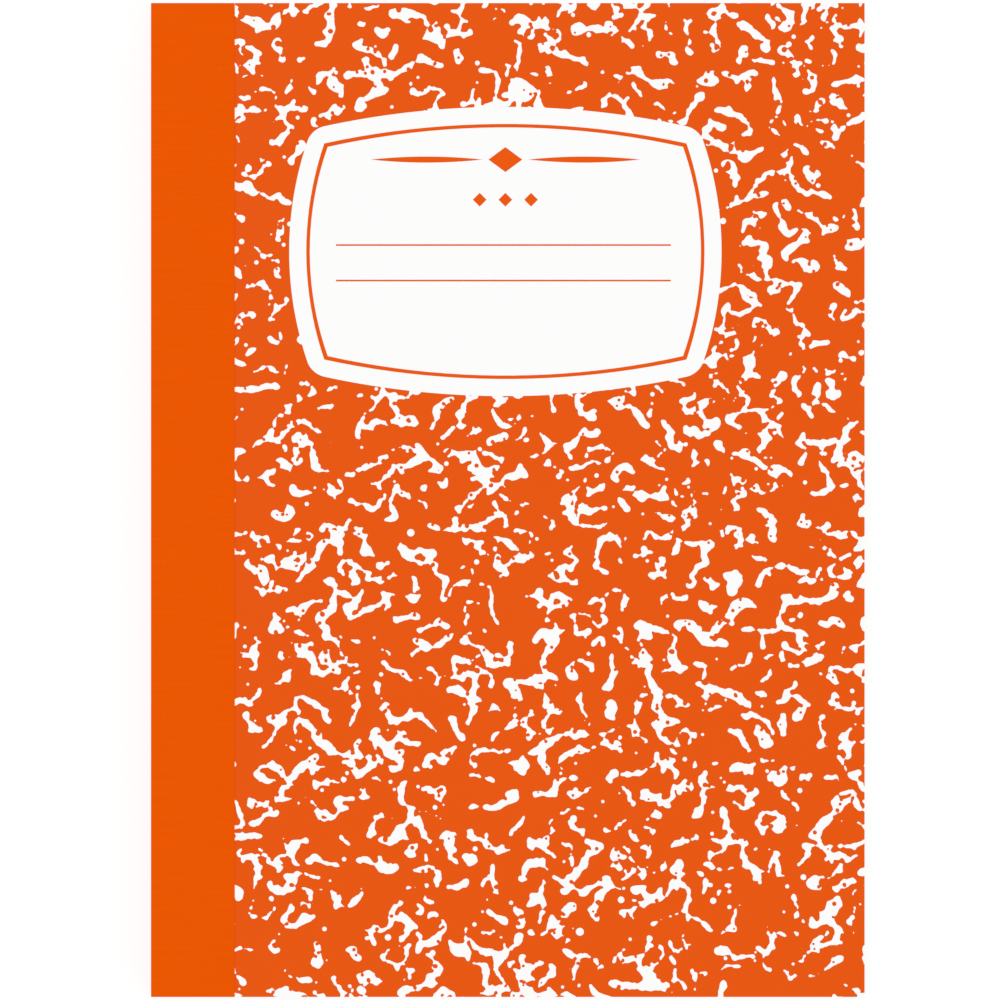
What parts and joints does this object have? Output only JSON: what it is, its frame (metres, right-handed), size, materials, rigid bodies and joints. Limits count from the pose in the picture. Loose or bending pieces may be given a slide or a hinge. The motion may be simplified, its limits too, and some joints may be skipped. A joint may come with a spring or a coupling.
{
  "type": "composition notebook",
  "caption": "Thin taped-spine notebook with square corners, marbled card covers, a bow-sided blank label on the front and ruled pages sewn through the fold.",
  "frame": {"origin": "middle of the closed book's outline, on the surface that its back cover lies on", "axes": "+Z out of the front cover, +Y towards the head (the end with the label), +X towards the fore edge; the taped spine is on -X"},
  "size_m": [0.1778, 0.2476, 0.0107],
  "materials": {
    "ruled_paper": "matte",
    "thread": "matte",
    "spine_tape": "satin",
    "endpaper": "matte",
    "pressboard": "matte",
    "marbled_paper": "satin",
    "white_print": "satin",
    "orange_print": "satin"
  },
  "bodies": {
    "pages": {"text_block": "ruled_paper", "sewing_thread": "thread", "spine_tape": "spine_tape"},
    "front_cover": {"front_endpaper": "endpaper", "front_board": "pressboard", "front_cover_sheet": "marbled_paper", "front_tape_flap": "spine_tape", "front_marbling": "white_print", "label_field": "white_print", "label_frame_line": "orange_print", "label_writing_rules": "orange_print", "label_ornament": "orange_print"},
    "back_cover": {"back_endpaper": "endpaper", "back_board": "pressboard", "back_cover_sheet": "marbled_paper", "back_tape_flap": "spine_tape"}
  },
  "joints": [
    {"name": "front_cover_hinge", "type": "hinge", "parent": "pages", "child": "front_cover", "pos_m": [-0.08895, 0, 0.00947], "axis": [0, -1, 0], "range_deg": [0, 180]},
    {"name": "back_cover_hinge", "type": "hinge", "parent": "pages", "child": "back_cover", "pos_m": [-0.08895, 0, 0.00127], "axis": [0, 1, 0], "range_deg": [0, 180]}
  ]
}
